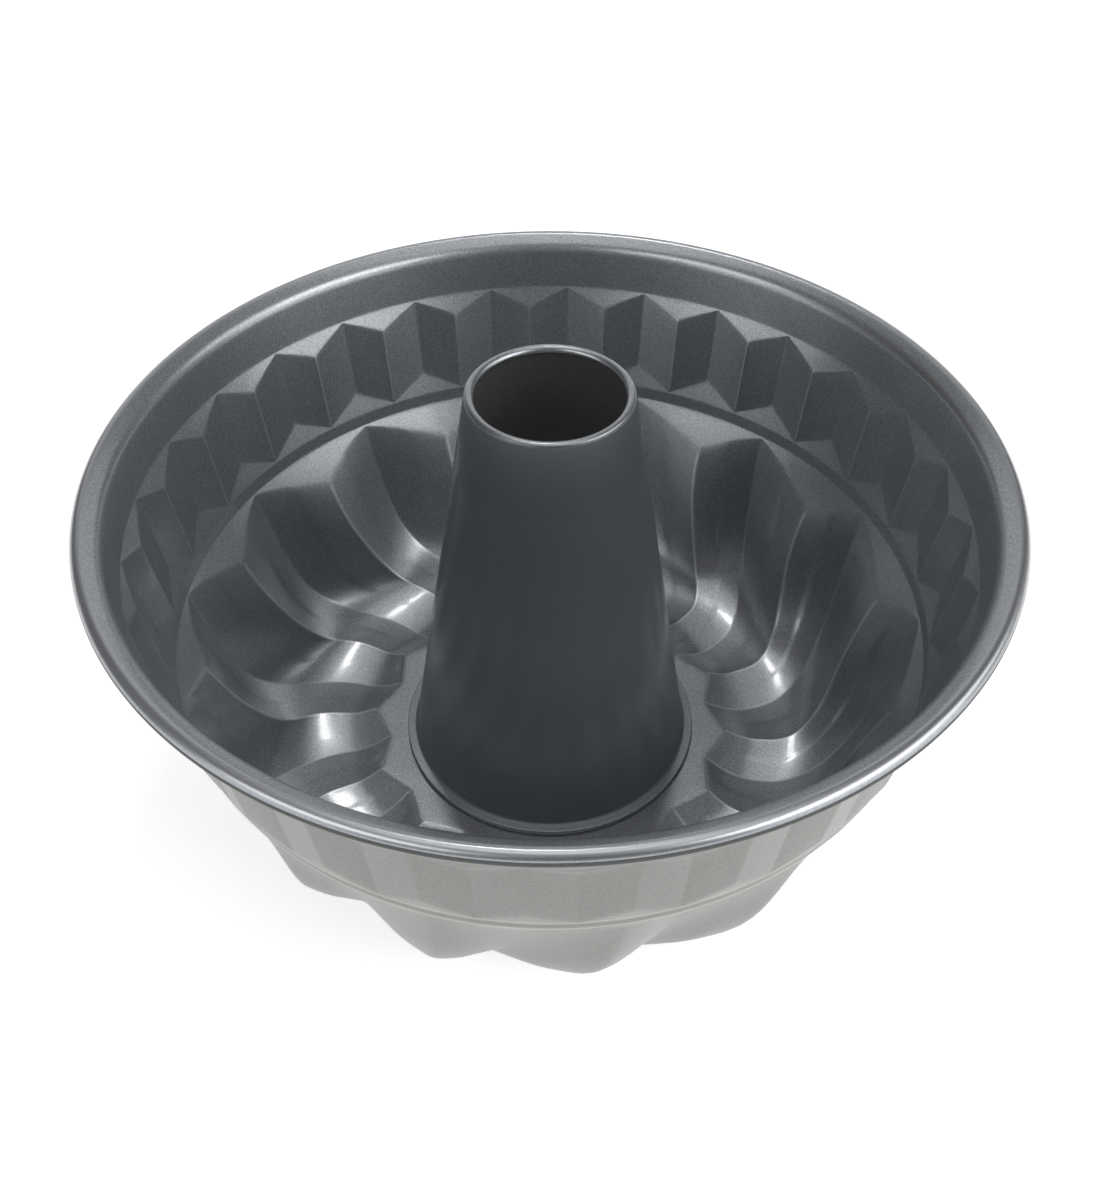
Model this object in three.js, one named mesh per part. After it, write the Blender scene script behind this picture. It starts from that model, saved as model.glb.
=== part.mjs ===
// Gugelhupf pan: a fluted and swirled shell of drawn sheet steel, a tapered centre tube that is clinched
// into the hole of its floor, and a steel wire inside the rolled rim.
// Millimetres, +Z up. The origin is on the axis, in the plane that the pan stands on.
import * as THREE from "three";
import { mergeVertices } from "three/addons/utils/BufferGeometryUtils.js";

const degrees = THREE.MathUtils.degToRad;
const mix = THREE.MathUtils.lerp;
const at = (r, h) => new THREE.Vector2(r, h);

// Sheet steel of the drawn shell
const bodySheet = 0.6;

// Rolled rim and the wire that stiffens it
const rimRadius = 115;
const rimHeight = 96.5;
const wireRadius = 1.1;
const wireClearance = 0.35;
const rollRadius = wireRadius + wireClearance + bodySheet;
const rollEnd = degrees(-138);
const rollSteps = 6;

// Smooth band below the rim, which bends out into the roll at its top and ends where the flutes begin
const wallLean = degrees(11.8);
const bandInset = 9.2;
const bandDrop = 12.8;
const bandEdgeRadius = rimRadius - bandInset;
const bandEdgeHeight = rimHeight - bandDrop;
const bendTop = degrees(140);
const bendDrop = 6.3;
const bendSteps = 2;

// Ring of small flutes: ridges stand in from the leaning wall, and sloping triangles close both ends
const fluteDepth = 1.5;
const fluteShoulder = 6.6;
const fluteFoot = 7.2;

// Upright ring between the flutes and the lobes
const ringTop = 53.7;
const ringWidth = 3.4;

// Swirled lobes, one to every two flutes. The ridges turn little at first and more further in.
const lobeCount = 14;
const firstValley = degrees(22.83);
const valleyTurn = degrees(-15);
const valleyTurnEnd = 58.5;
const ridgeFirstTurn = degrees(-2);
const ridgeFirstTurnEnd = 91;
const ridgeTurn = degrees(-12.7);
const ridgeTurnEnd = 63;
const lobeShoulder = 10.2;
const lobeInset = 6.6;
const valleyLean = 0.31;
const valleyWallReach = 23.5;
const valleyFloorReach = 28.4;
const valleyFloorRadius = 62.5;
const ridgeLean = 0.45;
const ridgeWallReach = 33;
const ridgeFloorReach = 13.1;
const ridgeFloorRadius = 64;
const ridgeFloorHeight = 2.4;

// Flat star round the tube, where the lobes end, and the hole in it
const plateauHeight = 5.4;
const plateauTipRadius = 50.4;
const plateauNotchRadius = 45.6;
const holeRadius = 38.7;

// The lobes are pressed flat where they stand
const footLength = 5;
const footDepth = 0.6;

// Centre tube with its turned-in lip and its clinched foot
const tubeSheet = 0.6;
const tubeHeight = 121.4;
const tubeTopRadius = 20.6;
const tubeFootRadius = 37.7;
const lipRadius = 1.25;
const lipSteps = 6;
const footFilletRise = 3.2;
const footFilletReach = 1.5;
const flangeRadius = 40.3;
const flangeThickness = 1.3;
const flangeRound = 0.4;
const hemRadius = 40.7;
const seamClearance = 0.3;

// How finely the curved faces are divided
const columnsPerLobe = 8;
const wallSteps = 6;
const riseSteps = 2;
const filletSteps = 4;
const tubeSegments = 56;
const wireSegments = 56;
const wireSides = 6;

// Phase 0 is the bottom of a valley and phase 0.5 the crest of a ridge: 0 in the valley, 1 on the ridge
const vee = (phase) => 1 - Math.abs(1 - 2 * (phase - Math.floor(phase)));

// The same, rounded off in the valley and on the crest
const lobeSoftness = 0.2;
const softVee = (phase) => mix(vee(phase), 0.5 - 0.5 * Math.cos(2 * Math.PI * phase), lobeSoftness);

// Where a straight line from a point touches a circle, as an angle round the circle
function tangentAngle(centre, radius, point) {
  const away = point.clone().sub(centre);
  return Math.atan2(away.y, away.x) + Math.acos(radius / away.length());
}

// Where the lines through two points cross, each along its own run
function crossing(a, runA, b, runB) {
  const reach = b.clone().sub(a).cross(runB) / runA.cross(runB);
  return a.clone().addScaledVector(runA, reach);
}

const onCircle = (centre, radius, angle) =>
  at(centre.x + radius * Math.cos(angle), centre.y + radius * Math.sin(angle));

// Points on a circle from one angle to another, both ends included
function arc(centre, radius, from, to, steps) {
  return Array.from({ length: steps + 1 }, (_, i) =>
    onCircle(centre, radius, mix(from, to, i / steps)),
  );
}

// Moves a path sideways by the sheet's thickness, square to its run at each point. Neighbours that share
// a place count as one point.
function offsetPath(path, distance) {
  const apart = (a, b) => a.distanceToSquared(b) > 1e-8;
  return path.map((point, i) => {
    const before = path.slice(0, i).findLast((p) => apart(p, point));
    const after = path.slice(i + 1).find((p) => apart(p, point));
    const runIn = before && point.clone().sub(before).normalize();
    const runOut = after && after.clone().sub(point).normalize();
    const run = (runIn ?? runOut).clone().add(runOut ?? runIn).normalize();
    const square = run.dot(runIn ?? runOut);
    return at(point.x - (run.y * distance) / square, point.y + (run.x * distance) / square);
  });
}

// The wall leans in on its way down
const wallRadius = (h) => bandEdgeRadius - Math.tan(wallLean) * (bandEdgeHeight - h);
const fluteApex = at(0, bandEdgeHeight - fluteShoulder);
fluteApex.x = wallRadius(fluteApex.y) - fluteDepth;
const fluteEnd = at(0, ringTop + fluteFoot);
fluteEnd.x = wallRadius(fluteEnd.y);
const ringRadius = wallRadius(ringTop) - fluteDepth;
const ringBottom = ringTop - ringWidth;

// At its top it bends over into the roll
const rollCentre = at(rimRadius - rollRadius, rimHeight);
const bendStart = onCircle(rollCentre, rollRadius, bendTop);
const bendFoot = at(wallRadius(rimHeight - bendDrop), rimHeight - bendDrop);
const bendCorner = crossing(
  bendStart,
  at(-Math.sin(bendTop), Math.cos(bendTop)),
  bendFoot,
  at(Math.tan(wallLean), 1),
);
const bend = new THREE.QuadraticBezierCurve(bendStart, bendCorner, bendFoot);

// A lobe's valley and ridge run down the wall, round into the trough and up to the flat star
function lobeCurve(start, lean, wallReach, trough, floorReach, end) {
  const wall = new THREE.CubicBezierCurve(
    start,
    at(start.x - lean * wallReach, start.y - wallReach),
    at(trough.x + floorReach, trough.y),
    trough,
  );
  const footEnd = at(trough.x - footLength, trough.y);
  const rise = new THREE.QuadraticBezierCurve(footEnd, at(mix(footEnd.x, end.x, 0.5), trough.y), end);
  return [...wall.getPoints(wallSteps), ...rise.getPoints(riseSteps)];
}

const valley = lobeCurve(
  at(ringRadius, ringBottom),
  valleyLean,
  valleyWallReach,
  at(valleyFloorRadius, bodySheet - footDepth),
  valleyFloorReach,
  at(plateauNotchRadius, plateauHeight),
);
const ridge = lobeCurve(
  at(ringRadius - lobeInset, ringBottom - lobeShoulder),
  ridgeLean,
  ridgeWallReach,
  at(ridgeFloorRadius, ridgeFloorHeight),
  ridgeFloorReach,
  at(plateauTipRadius, plateauHeight),
);

// The lobes turn about the axis as they run in from the ring
function swirl(r, lobe) {
  const inward = (from, to) => THREE.MathUtils.smoothstep(-r, -from, -to);
  const inValley = valleyTurn * inward(ringRadius, valleyTurnEnd);
  const onRidge = ridgeFirstTurn * inward(ringRadius, ridgeFirstTurnEnd)
    + ridgeTurn * inward(ridgeFirstTurnEnd, ridgeTurnEnd);
  return mix(inValley, onRidge, lobe);
}

// One meridian of the shell's upper face, from the end of the roll to the edge of the hole
const floor = at(0, bodySheet);
function shellPath(phase) {
  const flute = vee(2 * phase);
  const lobe = softVee(phase);
  const bandEdge = at(bandEdgeRadius, bandEdgeHeight);
  return [
    ...arc(rollCentre, rollRadius, rollEnd, bendTop, rollSteps),
    ...bend.getPoints(bendSteps).slice(1),
    bandEdge,
    bandEdge.clone().lerp(fluteApex, flute),
    fluteEnd.clone().lerp(at(ringRadius, ringTop), flute),
    at(ringRadius, ringTop),
    at(ringRadius, ringBottom),
    ...valley.map((point, i) => point.clone().lerp(ridge[i], lobe).max(floor)),
    at(holeRadius, plateauHeight),
  ];
}

// The shell is a loop of upper and lower face for each meridian, joined to the next one all the way round
function shellGeometry() {
  const columns = lobeCount * columnsPerLobe;
  const loops = [];
  for (let c = 0; c < columns; c++) {
    const phase = c / columnsPerLobe;
    const upper = shellPath(phase);
    const lower = offsetPath(upper, bodySheet);
    const loop = [...upper.keys()].map((i) => [upper[i], upper[i]]);
    for (let i = upper.length - 1; i >= 0; i--) loop.push([lower[i], upper[i]]);
    loops.push(
      loop.map(([point, face]) => {
        const angle = firstValley + (2 * Math.PI * c) / columns + swirl(face.x, softVee(phase));
        return new THREE.Vector3(point.x * Math.cos(angle), point.x * Math.sin(angle), point.y);
      }),
    );
  }
  const positions = [];
  const facet = (a, b, c) => {
    const flat = [a.distanceTo(b), b.distanceTo(c), c.distanceTo(a)].some((d) => d < 1e-4);
    if (!flat) positions.push(...a.toArray(), ...b.toArray(), ...c.toArray());
  };
  loops.forEach((loop, c) => {
    const next = loops[(c + 1) % columns];
    loop.forEach((point, i) => {
      const j = (i + 1) % loop.length;
      facet(point, next[i], next[j]);
      facet(point, next[j], loop[j]);
    });
  });
  const geometry = new THREE.BufferGeometry();
  geometry.setAttribute("position", new THREE.Float32BufferAttribute(positions, 3));
  const merged = mergeVertices(geometry, 1e-3);
  merged.computeVertexNormals();
  return merged;
}

// Section of the tube: over the lip and down the outside, round the foot, and up the bore
function tubeProfile() {
  const flangeTop = plateauHeight + seamClearance + flangeThickness;
  const flangeUnder = plateauHeight + seamClearance;
  const neckRadius = holeRadius - seamClearance;
  const hemTop = plateauHeight - bodySheet - seamClearance;
  const hemUnder = hemTop - tubeSheet;
  const lipCentre = at(tubeTopRadius - lipRadius, tubeHeight - lipRadius);
  const foot = at(tubeFootRadius, flangeTop);
  const leaveLip = tangentAngle(lipCentre, lipRadius, foot);
  const wallTop = onCircle(lipCentre, lipRadius, leaveLip);
  const boreTop = onCircle(lipCentre, lipRadius - tubeSheet, leaveLip);
  const alongWall = foot.clone().sub(wallTop).normalize();
  const fillet = new THREE.QuadraticBezierCurve(
    foot.clone().addScaledVector(alongWall, -footFilletRise),
    foot,
    at(tubeFootRadius + footFilletReach, flangeTop),
  );
  const boreFoot = boreTop.clone().add(foot).sub(wallTop);
  return [
    ...arc(lipCentre, lipRadius, Math.PI, leaveLip, lipSteps),
    ...fillet.getPoints(filletSteps),
    at(flangeRadius - flangeRound, flangeTop),
    at(flangeRadius, flangeTop - flangeRound),
    at(flangeRadius, flangeUnder),
    at(neckRadius, flangeUnder),
    at(neckRadius, hemTop),
    at(hemRadius, hemTop),
    at(hemRadius, hemUnder),
    at(neckRadius - tubeSheet, hemUnder),
    boreFoot,
    ...arc(lipCentre, lipRadius - tubeSheet, leaveLip, Math.PI, lipSteps),
  ];
}

function tubeGeometry() {
  const profile = tubeProfile();
  const closed = [...profile, profile[0].clone()].reverse();
  return new THREE.LatheGeometry(closed, tubeSegments).rotateX(Math.PI / 2);
}

// Dark non-stick coating on the steel, and the bare wire
const coating = (color, roughness) =>
  new THREE.MeshStandardMaterial({ color, roughness, metalness: 0.55 });
const bareSteel = new THREE.MeshStandardMaterial({ color: 0xb4b7ba, roughness: 0.35, metalness: 1 });

const fluted_body = new THREE.Mesh(shellGeometry(), coating(0x5a5d62, 0.38));
fluted_body.name = "fluted_body";

const centre_tube = new THREE.Mesh(tubeGeometry(), coating(0x43464c, 0.42));
centre_tube.name = "centre_tube";

const wireRing = new THREE.TorusGeometry(rimRadius - rollRadius, wireRadius, wireSides, wireSegments);
const rim_wire = new THREE.Mesh(wireRing, bareSteel);
rim_wire.name = "rim_wire";
rim_wire.position.z = rimHeight;

const pan = new THREE.Group();
pan.name = "gugelhupf_pan";
pan.add(fluted_body, centre_tube, rim_wire);

export default pan;
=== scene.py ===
import math

import bpy
import numpy as np
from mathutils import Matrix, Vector


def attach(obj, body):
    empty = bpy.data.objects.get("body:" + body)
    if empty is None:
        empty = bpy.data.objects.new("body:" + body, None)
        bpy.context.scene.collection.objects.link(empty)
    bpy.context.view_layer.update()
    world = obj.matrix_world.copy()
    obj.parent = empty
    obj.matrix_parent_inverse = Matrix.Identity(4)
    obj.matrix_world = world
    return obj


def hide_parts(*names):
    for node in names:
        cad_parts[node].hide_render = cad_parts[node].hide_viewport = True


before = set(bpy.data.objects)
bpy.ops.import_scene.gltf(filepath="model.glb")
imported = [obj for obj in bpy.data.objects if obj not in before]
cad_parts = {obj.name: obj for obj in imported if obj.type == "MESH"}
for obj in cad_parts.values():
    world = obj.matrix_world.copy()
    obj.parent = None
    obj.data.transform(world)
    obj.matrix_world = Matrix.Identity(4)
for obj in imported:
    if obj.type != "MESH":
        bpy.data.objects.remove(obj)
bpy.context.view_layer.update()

# Fluted body
# One shell of sheet steel, drawn in a press tool, coated on both sides and rolled over a wire at the rim.
# One lobe is drawn as rows of points, from the roll to the hole for the tube, and then set round the axis.
# Sizes are in millimetres, and a point of a row is its radius and its height.
MM = 0.001
SHEET = 0.6
LOBES = 14
FIRST_VALLEY = math.radians(22.83)

# Columns and rows crowd where facets meet, so that their edges can be rounded
COLUMN_SHARES = (0, 0.03, 0.08, 0.2, 0.4, 0.6, 0.8, 0.92, 0.97)
ROW_SHARES = (0, 0.04, 0.1, 0.25, 0.5, 0.75, 0.9, 0.96)
QUARTERS = 4
phase = np.array([(quarter + share) / QUARTERS for quarter in range(QUARTERS) for share in COLUMN_SHARES])


def vee(turns):
    """0 in a valley, at whole turns, and 1 on the ridge half-way between."""
    return 1 - np.abs(1 - 2 * (turns % 1))


flute = vee(2 * phase)
lobe = vee(phase)


def ring(radius, height):
    """One row of points on a circle round the axis."""
    return np.full((len(phase), 2), (radius, height), float)


def across(start, end, share):
    """A row that lies between two others, by a share for each column."""
    return start + (end - start) * share[:, None]


def rows_between(start, end, shares=ROW_SHARES):
    """Rows from one row up to, but not including, another."""
    return [start + (end - start) * share for share in shares]


def arc(centre, radius, start, end, steps):
    """Points on a circle in a section, both ends included."""
    angles = np.linspace(start, end, steps + 1)
    return [centre + radius * np.array((math.cos(angle), math.sin(angle))) for angle in angles]


def rounded(start, corner, end, steps):
    """Points of a rounded corner in a section, both ends included."""
    share = np.linspace(0, 1, steps + 1)[:, None]
    return (1 - share) ** 2 * start + 2 * share * (1 - share) * corner + share ** 2 * end


# Inside the bead the sheet slopes straight to the wall and turns down it in a short bend
RIM_RADIUS = 115.0
RIM_HEIGHT = 96.5
ROLL_RADIUS = 2.05
ROLL_END = math.radians(-138)
ROLL_STEPS = 20
BEND_TOP = math.radians(120)
BEND_ROUND = 2.0
BEND_STEPS = 8
SLOPE_SHARES = (0, 0.4, 0.8)
BAND_EDGE = (105.8, 83.7)
WALL_LEAN = math.radians(11.1)
roll_centre = np.array((RIM_RADIUS - ROLL_RADIUS, RIM_HEIGHT))
roll = arc(roll_centre, ROLL_RADIUS, ROLL_END, BEND_TOP, ROLL_STEPS)
bead_edge = roll[-1]
slope = np.array((-math.sin(BEND_TOP), math.cos(BEND_TOP)))
down_wall = np.array((-math.sin(WALL_LEAN), -math.cos(WALL_LEAN)))
reaches = np.linalg.solve(np.stack([slope, down_wall], axis=1), np.array(BAND_EDGE) - bead_edge)
bend_corner = bead_edge + reaches[0] * slope
bend_start = bend_corner - BEND_ROUND * slope
bend_foot = bend_corner + BEND_ROUND * down_wall
bend = rounded(bend_start, bend_corner, bend_foot, BEND_STEPS)
band_edge = ring(*BAND_EDGE)
roll_rows = [ring(*point) for point in roll[:-1]]
flat_rows = [
    *rows_between(ring(*bead_edge), ring(*bend_start), SLOPE_SHARES),
    *[ring(*point) for point in bend[:-1]],
    *rows_between(ring(*bend_foot), band_edge),
]

# Two small flutes stand over each lobe, between a facet above and one below, on a narrow upright ring
FLUTE_DEPTH = 1.9
FLUTE_SHOULDER = 6.35
FLUTE_FOOT = 6.9
RING_TOP = 53.7
RING_WIDTH = 3.4
RING_LEAN = 0.35
LEAST_FACET = 0.05


def wall_radius(height):
    """The radius of the plain leaning wall at a height."""
    return BAND_EDGE[0] - math.tan(WALL_LEAN) * (BAND_EDGE[1] - height)


ring_radius = wall_radius(RING_TOP) - FLUTE_DEPTH
ring_bottom_height = RING_TOP - RING_WIDTH
apex_height = BAND_EDGE[1] - FLUTE_SHOULDER
flute_apex = ring(wall_radius(apex_height) - FLUTE_DEPTH, apex_height)
flute_end = ring(wall_radius(RING_TOP + FLUTE_FOOT), RING_TOP + FLUTE_FOOT)
ring_top = ring(ring_radius + RING_LEAN, RING_TOP)
ring_bottom = ring(ring_radius - RING_LEAN, ring_bottom_height)
flute_top = across(band_edge, flute_apex, np.maximum(flute, LEAST_FACET))
flute_foot = across(flute_end, ring_top, np.minimum(flute, 1 - LEAST_FACET))
shoulder_rows = rows_between(band_edge, flute_top)
flute_rows = rows_between(flute_top, flute_foot)

# Valleys and ridges of the lobes run down the wall, into the trough and up to the flat star at the tube
LOBE_SHOULDER = 10.2
LOBE_INSET = 6.6
LOBE_STEPS = 28
VALLEY_LEAN = 0.31
VALLEY_WALL_REACH = 23.5
VALLEY_TROUGH = (62.5, 0.6)
VALLEY_TROUGH_REACH = 28.4
RIDGE_LEAN = 0.45
RIDGE_WALL_REACH = 33.0
RIDGE_TROUGH = (64.0, 2.4)
RIDGE_TROUGH_REACH = 13.1
FOOT_LENGTH = 5.0
RISE_STEPS = 10
STAR_HEIGHT = 5.4
STAR_TIP = 50.4
STAR_NOTCH = 45.6
HOLE_RADIUS = 38.7


def lobe_run(start, lean, wall_reach, trough, trough_reach, star_radius):
    """The run of a valley or a ridge from the ring to the star."""
    first = np.array(start)
    last = np.array(trough)
    second = first - (lean * wall_reach, wall_reach)
    third = last + (trough_reach, 0)
    share = np.linspace(0, 1, LOBE_STEPS + 1)[:, None]
    rest = 1 - share
    down = (
        rest ** 3 * first
        + 3 * rest ** 2 * share * second
        + 3 * rest * share ** 2 * third
        + share ** 3 * last
    )
    foot = last - (FOOT_LENGTH, 0)
    star = np.array((star_radius, STAR_HEIGHT))
    below_star = np.array((0.5 * (foot[0] + star_radius), foot[1]))
    return np.concatenate([down, rounded(foot, below_star, star, RISE_STEPS)])


valley_start = (ring_radius - RING_LEAN, ring_bottom_height)
ridge_start = (ring_radius - LOBE_INSET, ring_bottom_height - LOBE_SHOULDER)
valley = lobe_run(
    valley_start, VALLEY_LEAN, VALLEY_WALL_REACH, VALLEY_TROUGH, VALLEY_TROUGH_REACH, STAR_NOTCH,
)
ridge = lobe_run(
    ridge_start, RIDGE_LEAN, RIDGE_WALL_REACH, RIDGE_TROUGH, RIDGE_TROUGH_REACH, STAR_TIP,
)

# The panels are flat at the shoulder and bow outwards on their way to the trough
LOBE_BOW = 0.08
BOW_STEPS = 22
lobe_share = np.maximum(lobe, LEAST_FACET)
panel_crown = 4 * lobe_share * (1 - lobe_share)
bows = LOBE_BOW * np.minimum(np.arange(len(valley)) / BOW_STEPS, 1) ** 2
lobe_rows = [
    across(ring(*low), ring(*high), lobe_share - bow * panel_crown)
    for low, high, bow in zip(valley, ridge, bows)
]
ring_rows = [
    *rows_between(flute_foot, ring_top),
    *rows_between(ring_top, ring_bottom),
    *rows_between(ring_bottom, lobe_rows[0]),
]
hole_edge = ring(HOLE_RADIUS, STAR_HEIGHT)
star_rows = [*rows_between(lobe_rows[-1], hole_edge)[1:], hole_edge]

# Lines that catch the light get a painted highlight, a lighter colour: the crown of the bead, the edges of
# flutes and lobes, and the foot of each valley. Outside they are the two edges of the ring.
CREST_SHARE = 0.02
BEAD_CROWN = math.radians(64)
CROWN_WIDTH = math.radians(14)
EDGE_ROWS = 2
roll_angles = np.linspace(ROLL_END, BEND_TOP, ROLL_STEPS + 1)
bead_crown = np.exp(-((roll_angles[:-1] - BEAD_CROWN) / CROWN_WIDTH) ** 2)
no_crest = np.zeros(len(phase))
flute_crest = np.where(flute > 1 - CREST_SHARE, 1.0, 0.0)
lobe_crest = np.where(lobe > 1 - CREST_SHARE, 1.0, 0.0)
valley_crest = np.where(lobe < CREST_SHARE, 1.0, 0.0)
inner_highlight = np.stack(
    [np.full(len(phase), crown) for crown in bead_crown]
    + [no_crest] * (len(flat_rows) + len(shoulder_rows))
    + [flute_crest] * len(flute_rows)
    + [no_crest] * len(ring_rows)
    + [lobe_crest + foot_share * valley_crest for foot_share in np.linspace(0, 1, len(lobe_rows)) ** 2]
    + [no_crest] * len(star_rows)
)
ring_top_row = len(roll_rows) + len(flat_rows) + len(shoulder_rows) + len(flute_rows) + len(ROW_SHARES)
# Outside, the two edges of the ring get painted highlight lines.
outer_highlight = np.zeros_like(inner_highlight)
for edge_row in (ring_top_row, ring_top_row + len(ROW_SHARES)):
    outer_highlight[edge_row - EDGE_ROWS:edge_row + EDGE_ROWS + 1] = 1

# The lobes turn about the axis on their way to the tube, the ridges later than the valleys
VALLEY_TURN = 15.0
VALLEY_TURN_END = 58.5
RIDGE_FIRST_TURN = 2.0
RIDGE_FIRST_END = 91.0
RIDGE_TURN = 12.7
RIDGE_TURN_START = 90.0
RIDGE_TURN_END = 63.0
EASE_PASSES = 2


def smoothstep(value, start, end):
    """A smooth rise from 0 at the start to 1 at the end."""
    share = np.clip((value - start) / (end - start), 0, 1)
    return share * share * (3 - 2 * share)


def swirl(radius):
    """How far a row has turned at its radius, by column."""
    in_valley = VALLEY_TURN * smoothstep(radius, ring_radius, VALLEY_TURN_END)
    at_shoulder = RIDGE_FIRST_TURN * smoothstep(radius, ring_radius, RIDGE_FIRST_END)
    on_ridge = at_shoulder + RIDGE_TURN * smoothstep(radius, RIDGE_TURN_START, RIDGE_TURN_END)
    return -np.radians(in_valley + (on_ridge - in_valley) * lobe)


def eased(before, here, after):
    """Points moved half-way to the middle between their neighbours."""
    return 0.5 * here + 0.25 * (before + after)


upper = np.stack([*flat_rows, *shoulder_rows, *flute_rows, *ring_rows, *lobe_rows, *star_rows])
turned = np.concatenate([upper, swirl(upper[:, :, 0])[:, :, None]], axis=2)
for _ in range(EASE_PASSES):
    turned = eased(np.roll(turned, 1, axis=1), turned, np.roll(turned, -1, axis=1))
    turned[1:-1] = eased(turned[:-2], turned[1:-1], turned[2:])
unturned = np.zeros((len(roll_rows), len(phase), 1))
turned = np.concatenate([np.concatenate([np.stack(roll_rows), unturned], axis=2), turned])

# The sheet's lower face lies square to the upper one, at the sheet's thickness. One column before the lobe
# and two after it give the slopes at its sides, and one of these closes it against the next lobe.
columns = np.arange(-1, len(phase) + 2)
wrapped = turned[:, columns % len(phase)]
column_phase = phase[columns % len(phase)] + columns // len(phase)
lobe_angle = 2 * math.pi / LOBES
angle = FIRST_VALLEY + column_phase * lobe_angle + wrapped[:, :, 2]
radius = wrapped[:, :, 0]
points = np.stack([radius * np.cos(angle), radius * np.sin(angle), wrapped[:, :, 1]], axis=2)
normal = np.cross(np.gradient(points, axis=1), np.gradient(points, axis=0))
normal /= np.linalg.norm(normal, axis=2, keepdims=True)
lower = (points - SHEET * normal)[:, 1:-1]
points = points[:, 1:-1]

# The press tool's other half is rounder on the lobes, so their outer face is eased further
OUTSIDE_PASSES = 9
next_lobe = np.array((
    (math.cos(lobe_angle), math.sin(lobe_angle), 0),
    (-math.sin(lobe_angle), math.cos(lobe_angle), 0),
    (0, 0, 1),
))
lobe_face = lower[ring_top_row:]
for _ in range(OUTSIDE_PASSES):
    before = np.concatenate([lobe_face[:, -2:-1] @ next_lobe.T, lobe_face[:, :-1]], axis=1)
    after = np.concatenate([lobe_face[:, 1:], lobe_face[:, 1:2] @ next_lobe], axis=1)
    lobe_face = eased(before, lobe_face, after)
lower[ring_top_row:] = lobe_face


def grid_quads(row_count, column_count, spans):
    """Faces between the rows of a grid, the last row and the first included, over a number of columns."""
    quads = []
    for row in range(row_count):
        here = row * column_count
        below = (row + 1) % row_count * column_count
        for column in range(spans):
            beside = (column + 1) % column_count
            quads.append((here + column, here + beside, below + beside, below + column))
    return quads


# The lower face has every second row, back from the hole to the roll. The underside of the roll has a
# dark coat that is painted shade.
# Up to this angle the roll is painted dark as shade.
ROLL_SHADED = math.radians(17)
INSIDE, OUTSIDE, PAINTED_SHADE, BEAD = range(4)
lower_rows = [*range(len(points) - 1, 0, -2), 0]
section = np.concatenate([points, lower[lower_rows]])
row_count, column_count = section.shape[:2]
crest_columns = columns[1:-1] % len(phase)
section_highlight = np.concatenate([inner_highlight, outer_highlight[lower_rows]])[:, crest_columns]
shaded_rows = round(ROLL_STEPS * (ROLL_SHADED - ROLL_END) / (BEND_TOP - ROLL_END))
row_coats = [
    *[PAINTED_SHADE] * shaded_rows,
    *[BEAD] * (ROLL_STEPS - shaded_rows),
    *[INSIDE] * (len(points) - ROLL_STEPS),
    *[OUTSIDE] * (len(lower_rows) - 1),
    PAINTED_SHADE,
]
sector_mesh = bpy.data.meshes.new("lobe_sector")
sector_quads = grid_quads(row_count, column_count, column_count - 1)
sector_mesh.from_pydata((section.reshape(-1, 3) * MM).tolist(), [], sector_quads)
sector_mesh.attributes.new("crest_highlight", "FLOAT", "POINT").data.foreach_set("value", section_highlight.ravel())
sector_coats = np.repeat(row_coats, column_count - 1)
sector_mesh.attributes.new("coat", "INT", "FACE").data.foreach_set("value", sector_coats)
sector_mesh.shade_smooth()


def add_node(tree, kind, inputs=None, **settings):
    """Adds a node to a tree, with its settings, and its inputs as values or as links from other sockets."""
    made = tree.nodes.new(kind)
    for name, value in settings.items():
        setattr(made, name, value)
    for name, value in (inputs or {}).items():
        if isinstance(value, bpy.types.NodeSocket):
            tree.links.new(value, made.inputs[name])
        else:
            made.inputs[name].default_value = value
    return made


def linear(hex_colour):
    """An sRGB hex colour as linear light."""
    channels = [int(hex_colour[start:start + 2], 16) / 255 for start in (1, 3, 5)]
    light = [value / 12.92 if value <= 0.04045 else ((value + 0.055) / 1.055) ** 2.4 for value in channels]
    return (*light, 1)


# The depth of a grain, as a share of its size
GRAIN_DEPTH = 0.2


def grained(name, grain, dark, light, relief, finish, contrast=0.2):
    """A material with a fine grain in its colour and in its surface. The grain's size is in millimetres."""
    material = bpy.data.materials.new(name)
    material.use_nodes = True
    tree = material.node_tree
    place = add_node(tree, "ShaderNodeTexCoord")
    noise = add_node(tree, "ShaderNodeTexNoise", {
        "Vector": place.outputs["Object"],
        "Scale": 1 / (grain * MM),
        "Detail": 1.0,
    })
    share = add_node(tree, "ShaderNodeMapRange", {
        "Value": noise.outputs["Fac"],
        "From Min": 0.5 - contrast,
        "From Max": 0.5 + contrast,
    })
    tint = add_node(tree, "ShaderNodeMix", {
        "Factor": share.outputs["Result"],
        "A": linear(dark),
        "B": linear(light),
    }, data_type="RGBA")
    bump = add_node(tree, "ShaderNodeBump", {
        "Height": noise.outputs["Fac"],
        "Strength": relief,
        "Distance": GRAIN_DEPTH * grain * MM,
    })
    shader = tree.nodes["Principled BSDF"]
    tree.links.new(tint.outputs["Result"], shader.inputs["Base Color"])
    tree.links.new(bump.outputs["Normal"], shader.inputs["Normal"])
    for socket, value in finish.items():
        shader.inputs[socket].default_value = value
    return material


def tone(material, share, colour):
    """Mixes a second colour into a material's own, by a share that comes from a socket."""
    tree = material.node_tree
    base = tree.nodes["Principled BSDF"].inputs["Base Color"]
    mixed = add_node(tree, "ShaderNodeMix", {
        "Factor": share,
        "A": base.links[0].from_socket,
        "B": linear(colour),
    }, data_type="RGBA")
    tree.links.new(mixed.outputs["Result"], base)


def paint_crest_highlights(material, colour):
    """Paints a highlight on the edges that stand out: a lighter colour, by the crest highlight weights."""
    crest_highlight = add_node(material.node_tree, "ShaderNodeAttribute", attribute_name="crest_highlight")
    tone(material, crest_highlight.outputs["Fac"], colour)
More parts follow.
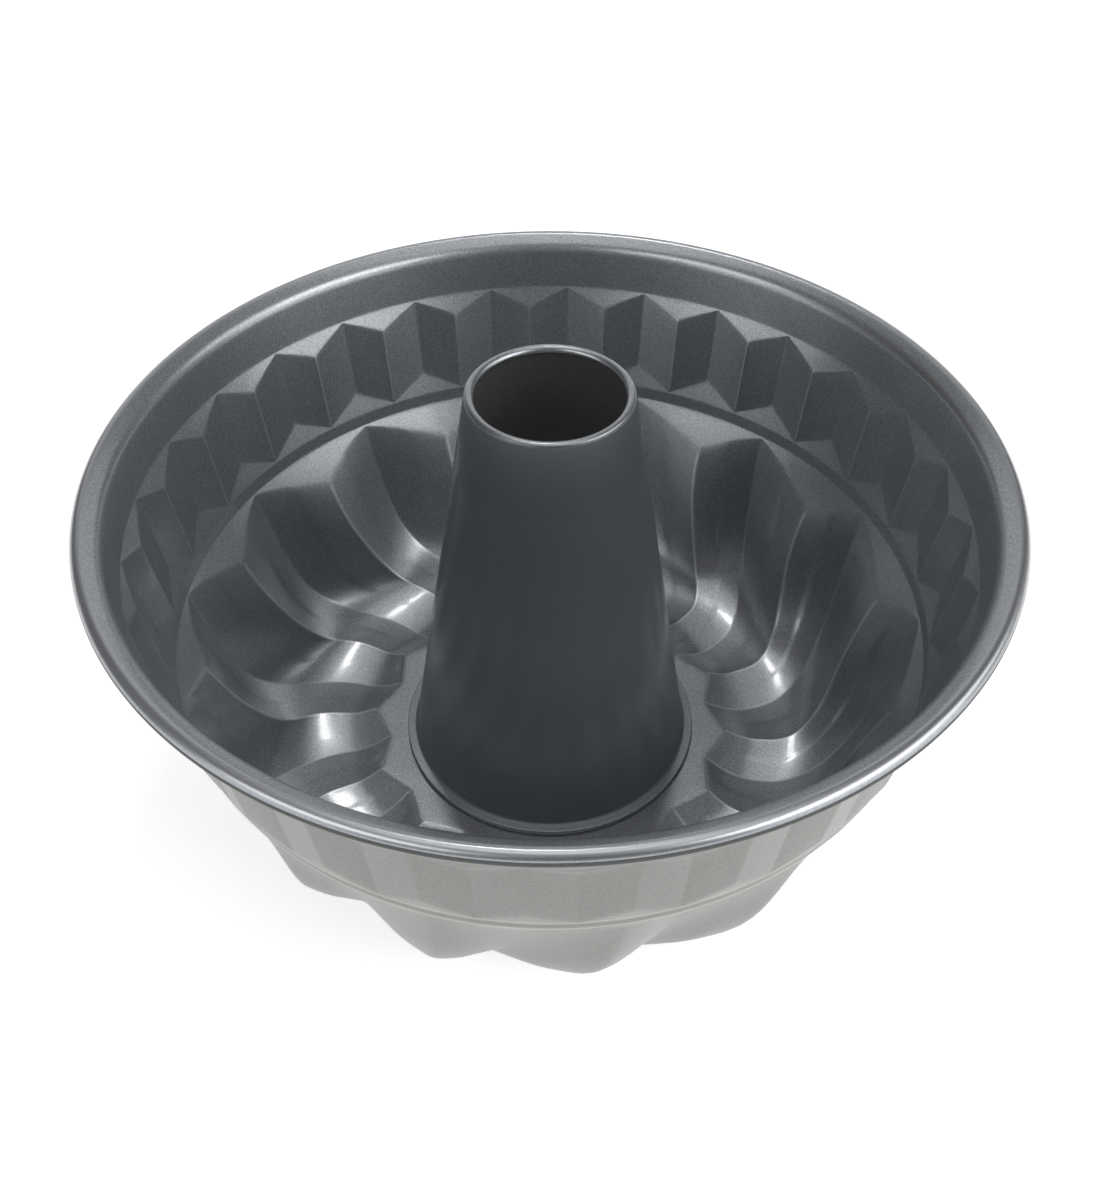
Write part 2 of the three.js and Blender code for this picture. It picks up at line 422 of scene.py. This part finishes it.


# Non-stick coating on the inside: a dark baked resin with mica flakes, sprayed on. It gives a satin grey
# with white highlights and a fine grain where light falls on it. On the crests a lighter colour is a
# painted highlight.
# The flakes are about 0.1 mm wide and are drawn coarser, so that they show.
inside_coat = grained(
    "speckled_nonstick_coating", grain=0.5, dark="#8b8e92", light="#a9acaf", relief=0.22,
    finish={"Metallic": 0.85, "Roughness": 0.39, "Coat Weight": 0.9, "Coat Roughness": 0.14},
)
# Painted highlight: the crests are lightened towards a pale grey.
paint_crest_highlights(inside_coat, "#c2c4c6")

# The same coating on the bead and on the tube's lip, where turning the sheet over has smoothed it. It gives
# clean bright lines, and a painted highlight lightens the crown of the bead.
bead_coat = grained(
    "burnished_nonstick_coating", grain=0.5, dark="#92959a", light="#a0a3a7", relief=0.05,
    finish={"Metallic": 0.85, "Roughness": 0.34, "Coat Weight": 0.9, "Coat Roughness": 0.14},
)
# Painted highlight on the crown of the bead.
paint_crest_highlights(bead_coat, "#c8cacd")

# Lacquer on the outside: a thin heat-proof champagne varnish over bright steel. It gives a warm satin grey.
outside_coat = grained(
    "champagne_lacquer", grain=0.8, dark="#7f817d", light="#8a8c88", relief=0.08,
    finish={"Metallic": 0.45, "Roughness": 0.3},
)
# Painted highlight: the two edges of the ring are lightened outside.
paint_crest_highlights(outside_coat, "#b2b3ad")

# Painted shade: a dark coat put where shade falls, on the underside of the bead's roll and in the tube's
# bore. It gives a dull black.
painted_shade_coat = grained(
    "dull_black_painted_shade", grain=0.6, dark="#454747", light="#505252", relief=0.15,
    finish={"Roughness": 0.6},
)

# The sector is set round the axis as often as there are lobes, joined to one shell, and coated
MERGE_DISTANCE = 0.002
lobe_tree = bpy.data.node_groups.new("lobes_round_axis", "GeometryNodeTree")
lobe_tree.interface.new_socket("Sector", in_out="INPUT", socket_type="NodeSocketGeometry")
count_socket = lobe_tree.interface.new_socket("Lobe count", in_out="INPUT", socket_type="NodeSocketInt")
lobe_tree.interface.new_socket("Shell", in_out="OUTPUT", socket_type="NodeSocketGeometry")
given = add_node(lobe_tree, "NodeGroupInput")
places = add_node(lobe_tree, "GeometryNodePoints", {"Count": given.outputs["Lobe count"]})
index = add_node(lobe_tree, "GeometryNodeInputIndex")
step = add_node(lobe_tree, "ShaderNodeMath", {
    0: 2 * math.pi,
    1: given.outputs["Lobe count"],
}, operation="DIVIDE")
turn = add_node(lobe_tree, "ShaderNodeMath", {
    0: index.outputs["Index"],
    1: step.outputs[0],
}, operation="MULTIPLY")
about_axis = add_node(lobe_tree, "ShaderNodeCombineXYZ", {"Z": turn.outputs[0]})
copies = add_node(lobe_tree, "GeometryNodeInstanceOnPoints", {
    "Points": places.outputs[0],
    "Instance": given.outputs["Sector"],
    "Rotation": about_axis.outputs[0],
})
real = add_node(lobe_tree, "GeometryNodeRealizeInstances", {"Geometry": copies.outputs[0]})
joined = add_node(lobe_tree, "GeometryNodeMergeByDistance", {
    "Geometry": real.outputs[0],
    "Distance": MERGE_DISTANCE * MM,
})
coat_number = add_node(lobe_tree, "GeometryNodeInputNamedAttribute", {"Name": "coat"}, data_type="INT")
coated = add_node(lobe_tree, "GeometryNodeSetMaterial", {
    "Geometry": joined.outputs[0],
    "Material": inside_coat,
})
for number, coat in ((OUTSIDE, outside_coat), (PAINTED_SHADE, painted_shade_coat), (BEAD, bead_coat)):
    has_coat = add_node(lobe_tree, "FunctionNodeCompare", {
        "A": coat_number.outputs["Attribute"],
        "B": number,
    }, data_type="INT", operation="EQUAL")
    coated = add_node(lobe_tree, "GeometryNodeSetMaterial", {
        "Geometry": coated.outputs[0],
        "Selection": has_coat.outputs[0],
        "Material": coat,
    })
add_node(lobe_tree, "NodeGroupOutput", {"Shell": coated.outputs[0]})

sector = bpy.data.objects.new("lobe_sector", sector_mesh)
bpy.context.scene.collection.objects.link(sector)
arraying = sector.modifiers.new("lobes", "NODES")
arraying.node_group = lobe_tree
arraying[count_socket.identifier] = LOBES
evaluated = sector.evaluated_get(bpy.context.evaluated_depsgraph_get())
shell_mesh = bpy.data.meshes.new_from_object(evaluated)
bpy.data.objects.remove(sector)
fluted_shell = bpy.data.objects.new("fluted_shell", shell_mesh)
bpy.context.scene.collection.objects.link(fluted_shell)
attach(fluted_shell, "root")
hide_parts("fluted_body")

# Rim wire
# A ring of drawn steel wire that stiffens the rim. The edge of the body is rolled round it and holds it, so
# it stays out of sight inside the roll. Drawing gives the steel a bright, even grey.
wire_steel = grained(
    "drawn_steel_wire", grain=0.4, dark="#acafb2", light="#bcbfc2", relief=0.1,
    finish={"Metallic": 1.0, "Roughness": 0.3},
)
rim_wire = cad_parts["rim_wire"]
rim_wire.data.materials.clear()
rim_wire.data.materials.append(wire_steel)

# Centre tube
# A tapered tube of the same sheet, turned in at the top. Its foot is clinched over the edge of the body's
# hole: a flange lies on the flat star and a hem under it.
TUBE_HEIGHT = 121.4
TUBE_TOP_RADIUS = 20.6
TUBE_FOOT_RADIUS = 37.7
LIP_RADIUS = 1.25
LIP_STEPS = 14
# Rows of the lip that carry a painted highlight
LIP_HIGHLIGHT_STEPS = 11
WALL_SHARES = np.linspace(0.08, 0.96, 12)
FOOT_FILLET = 1.0
FOOT_TURN = 0.5
FILLET_STEPS = 6
FLANGE_RADIUS = 40.3
FLANGE_THICKNESS = 1.3
FLANGE_ROUND = 0.3
FLANGE_STEPS = 5
HEM_RADIUS = 40.7
SEAM = 0.3
TUBE_SEGMENTS = 160
flange_top = STAR_HEIGHT + SEAM + FLANGE_THICKNESS
hem_top = STAR_HEIGHT - SHEET - SEAM
neck_radius = HOLE_RADIUS - SEAM
lip_centre = np.array((TUBE_TOP_RADIUS - LIP_RADIUS, TUBE_HEIGHT - LIP_RADIUS))
foot = np.array((TUBE_FOOT_RADIUS, flange_top))
to_foot = foot - lip_centre
lip_leave = math.atan2(to_foot[1], to_foot[0]) + math.acos(LIP_RADIUS / np.hypot(*to_foot))
lip = arc(lip_centre, LIP_RADIUS, math.pi, lip_leave, LIP_STEPS)
down_tube = (foot - lip[-1]) / np.linalg.norm(foot - lip[-1])
wall_end = foot - FOOT_FILLET * down_tube
flange_edge = np.array((FLANGE_RADIUS, flange_top))
outline = [
    *lip,
    *[lip[-1] + (wall_end - lip[-1]) * share for share in WALL_SHARES],
    *rounded(wall_end, foot, foot + (FOOT_TURN, 0), FILLET_STEPS),
    *rounded(flange_edge - (FLANGE_ROUND, 0), flange_edge, flange_edge - (0, FLANGE_ROUND), FLANGE_STEPS),
    (FLANGE_RADIUS, STAR_HEIGHT + SEAM),
    (neck_radius, STAR_HEIGHT + SEAM),
    (neck_radius, hem_top),
    (HEM_RADIUS, hem_top),
    (HEM_RADIUS, hem_top - SHEET),
    (neck_radius - SHEET, hem_top - SHEET),
    foot - (SHEET, 0),
    *arc(lip_centre, LIP_RADIUS - SHEET, lip_leave, math.pi, LIP_STEPS),
]
turns = -np.linspace(0, 2 * math.pi, TUBE_SEGMENTS, endpoint=False)
tube_points = [
    (out * math.cos(turn) * MM, out * math.sin(turn) * MM, height * MM)
    for out, height in outline
    for turn in turns
]
tube_mesh = bpy.data.meshes.new("tapered_tube")
tube_mesh.from_pydata(tube_points, [], grid_quads(len(outline), TUBE_SEGMENTS, TUBE_SEGMENTS))
tube_mesh.shade_smooth()

# Non-stick coating on the tube: the same resin, sprayed in one thin coat with few flakes. It gives a plain
# dark satin, and painted light makes it a little lighter towards the foot.
PAINTED_LIGHT_FROM = 105.0
PAINTED_LIGHT_TO = 10.0
PAINTED_LIGHT_SHARE = 0.8
tube_coat = grained(
    "dark_nonstick_coating", grain=0.5, dark="#4c5057", light="#5a5d63", relief=0.15,
    finish={"Metallic": 0.35, "Roughness": 0.38, "Coat Weight": 0.35, "Coat Roughness": 0.15},
    contrast=0.5,
)
# Painted light: the colour lightens from the top of the tube towards its foot.
on_tube = add_node(tube_coat.node_tree, "ShaderNodeTexCoord")
up_tube = add_node(tube_coat.node_tree, "ShaderNodeSeparateXYZ", {"Vector": on_tube.outputs["Object"]})
painted_lightening = add_node(tube_coat.node_tree, "ShaderNodeMapRange", {
    "Value": up_tube.outputs["Z"],
    "From Min": PAINTED_LIGHT_FROM * MM,
    "From Max": PAINTED_LIGHT_TO * MM,
    "To Max": PAINTED_LIGHT_SHARE,
})
tone(tube_coat, painted_lightening.outputs["Result"], "#7c8088")

# The top of the lip has the smoother, lighter bead coat as a painted highlight, the flange and the hem are
# coated as the inside, and the bore has the dark coat of painted shade.
tube_coats = (tube_coat, painted_shade_coat, inside_coat, bead_coat)
for coat in tube_coats:
    tube_mesh.materials.append(coat)
flange_start = len(lip) + len(WALL_SHARES) + FILLET_STEPS
bore_start = len(outline) - len(lip) - 1
tube_row_coats = [
    *[bead_coat] * LIP_HIGHLIGHT_STEPS,
    *[tube_coat] * (flange_start - LIP_HIGHLIGHT_STEPS),
    *[inside_coat] * (bore_start - flange_start),
    *[painted_shade_coat] * (len(outline) - bore_start),
]
tube_coat_numbers = [tube_coats.index(coat) for coat in tube_row_coats]
tube_mesh.polygons.foreach_set("material_index", np.repeat(tube_coat_numbers, TUBE_SEGMENTS))
tapered_tube = bpy.data.objects.new("tapered_tube", tube_mesh)
bpy.context.scene.collection.objects.link(tapered_tube)
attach(tapered_tube, "root")
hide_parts("centre_tube")

# Floor and light
# A plain white sweep takes the pan's soft shadow, and glows where it is seen, so that it looks white.
# The room is dark above a pale horizon, and eight soft boxes light the pan.
FLOOR_REACH = 4.0
FLOOR_GLOW = 0.7
ROOM_LIGHT = 0.05
HORIZON_START = 0.05
HORIZON_END = 0.13
WHITE = linear("#ffffff")
floor_mesh = bpy.data.meshes.new("floor")
floor_corners = [(x * FLOOR_REACH, y * FLOOR_REACH, 0) for x, y in ((-1, -1), (1, -1), (1, 1), (-1, 1))]
floor_mesh.from_pydata(floor_corners, [], [(0, 1, 2, 3)])
floor = bpy.data.objects.new("floor", floor_mesh)
bpy.context.scene.collection.objects.link(floor)

# Paint of the sweep: a matt white. It gives a floor with no reflections.
floor_white = bpy.data.materials.new("matt_white_paint")
floor_white.use_nodes = True
paint_tree = floor_white.node_tree
ray = add_node(paint_tree, "ShaderNodeLightPath")
in_sight = add_node(paint_tree, "ShaderNodeMath", {
    0: ray.outputs["Is Camera Ray"],
    1: ray.outputs["Is Glossy Ray"],
}, operation="MAXIMUM")
seen = add_node(paint_tree, "ShaderNodeMath", {
    0: in_sight.outputs[0],
    1: ray.outputs["Is Transmission Ray"],
}, operation="MAXIMUM")
glow = add_node(paint_tree, "ShaderNodeMath", {0: seen.outputs[0], 1: FLOOR_GLOW}, operation="MULTIPLY")
paint = paint_tree.nodes["Principled BSDF"]
paint.inputs["Base Color"].default_value = linear("#d8d8d8")
paint.inputs["Roughness"].default_value = 1.0
paint.inputs["Specular IOR Level"].default_value = 0.0
paint.inputs["Emission Color"].default_value = WHITE
paint_tree.links.new(glow.outputs[0], paint.inputs["Emission Strength"])
floor_mesh.materials.append(floor_white)

world = bpy.data.worlds.new("studio")
bpy.context.scene.world = world
world.use_nodes = True
world_tree = world.node_tree
direction = add_node(world_tree, "ShaderNodeTexCoord")
above = add_node(world_tree, "ShaderNodeSeparateXYZ", {"Vector": direction.outputs["Generated"]})
room = add_node(world_tree, "ShaderNodeMapRange", {
    "Value": above.outputs["Z"],
    "From Min": HORIZON_START,
    "From Max": HORIZON_END,
    "To Min": FLOOR_GLOW,
    "To Max": ROOM_LIGHT,
}, interpolation_type="SMOOTHSTEP")
background = world_tree.nodes["Background"]
background.inputs["Color"].default_value = WHITE
world_tree.links.new(room.outputs["Result"], background.inputs["Strength"])

BOX_DISTANCE = 2.5
BOX_AIM = Vector((0, 0, 0.06))


def soft_box(name, azimuth, elevation, width, height, radiance):
    """A soft box that is turned to the pan, with its size as seen from one metre."""
    box_data = bpy.data.lights.new(name, "AREA")
    box_data.shape = "RECTANGLE"
    box_data.size = width * BOX_DISTANCE
    box_data.size_y = height * BOX_DISTANCE
    box_data.energy = radiance * math.pi * box_data.size * box_data.size_y
    box = bpy.data.objects.new(name, box_data)
    level = math.cos(math.radians(elevation))
    towards = Vector((
        level * math.cos(math.radians(azimuth)),
        level * math.sin(math.radians(azimuth)),
        math.sin(math.radians(elevation)),
    ))
    box.location = BOX_AIM + BOX_DISTANCE * towards
    box.rotation_euler = towards.to_track_quat("Z", "Y").to_euler()
    bpy.context.scene.collection.objects.link(box)


soft_box("right_window", azimuth=-31, elevation=37, width=0.64, height=0.45, radiance=4.6)
soft_box("right_wall", azimuth=-26, elevation=11, width=0.9, height=0.32, radiance=1.8)
soft_box("right_side", azimuth=5, elevation=34, width=0.45, height=0.5, radiance=1.8)
soft_box("left_window", azimuth=-134, elevation=34, width=0.75, height=0.42, radiance=2.7)
soft_box("left_wall", azimuth=-148, elevation=11, width=0.7, height=0.32, radiance=1.2)
soft_box("ceiling_lamp", azimuth=95, elevation=64, width=0.11, height=0.11, radiance=26.0)
soft_box("ceiling", azimuth=0, elevation=90, width=0.7, height=0.7, radiance=1.15)
soft_box("back_wall", azimuth=92, elevation=27, width=1.2, height=0.5, radiance=0.8)

# Camera
# It is fitted to the photograph and looks down at the middle of the rim, at a distance in metres.
# The frame is shifted so that this point lies in its own row of pixels.
CAMERA_DISTANCE = 0.3652
CAMERA_RISE = math.radians(39.55)
FOCAL_PIXELS = 1481.55
AXIS_ROW = 473.24
IMAGE_HEIGHT = 1200
camera_data = bpy.data.cameras.new("camera")
camera_data.sensor_fit = "VERTICAL"
camera_data.sensor_height = 24
camera_data.lens = camera_data.sensor_height * FOCAL_PIXELS / IMAGE_HEIGHT
camera_data.shift_y = (AXIS_ROW - IMAGE_HEIGHT / 2) / IMAGE_HEIGHT
camera_data.clip_start = 0.01
camera = bpy.data.objects.new("camera", camera_data)
camera.location = (
    0,
    -CAMERA_DISTANCE * math.cos(CAMERA_RISE),
    RIM_HEIGHT * MM + CAMERA_DISTANCE * math.sin(CAMERA_RISE),
)
camera.rotation_euler = (math.pi / 2 - CAMERA_RISE, 0, 0)
bpy.context.scene.collection.objects.link(camera)
bpy.context.scene.camera = camera
bpy.context.scene.view_settings.view_transform = "Standard"
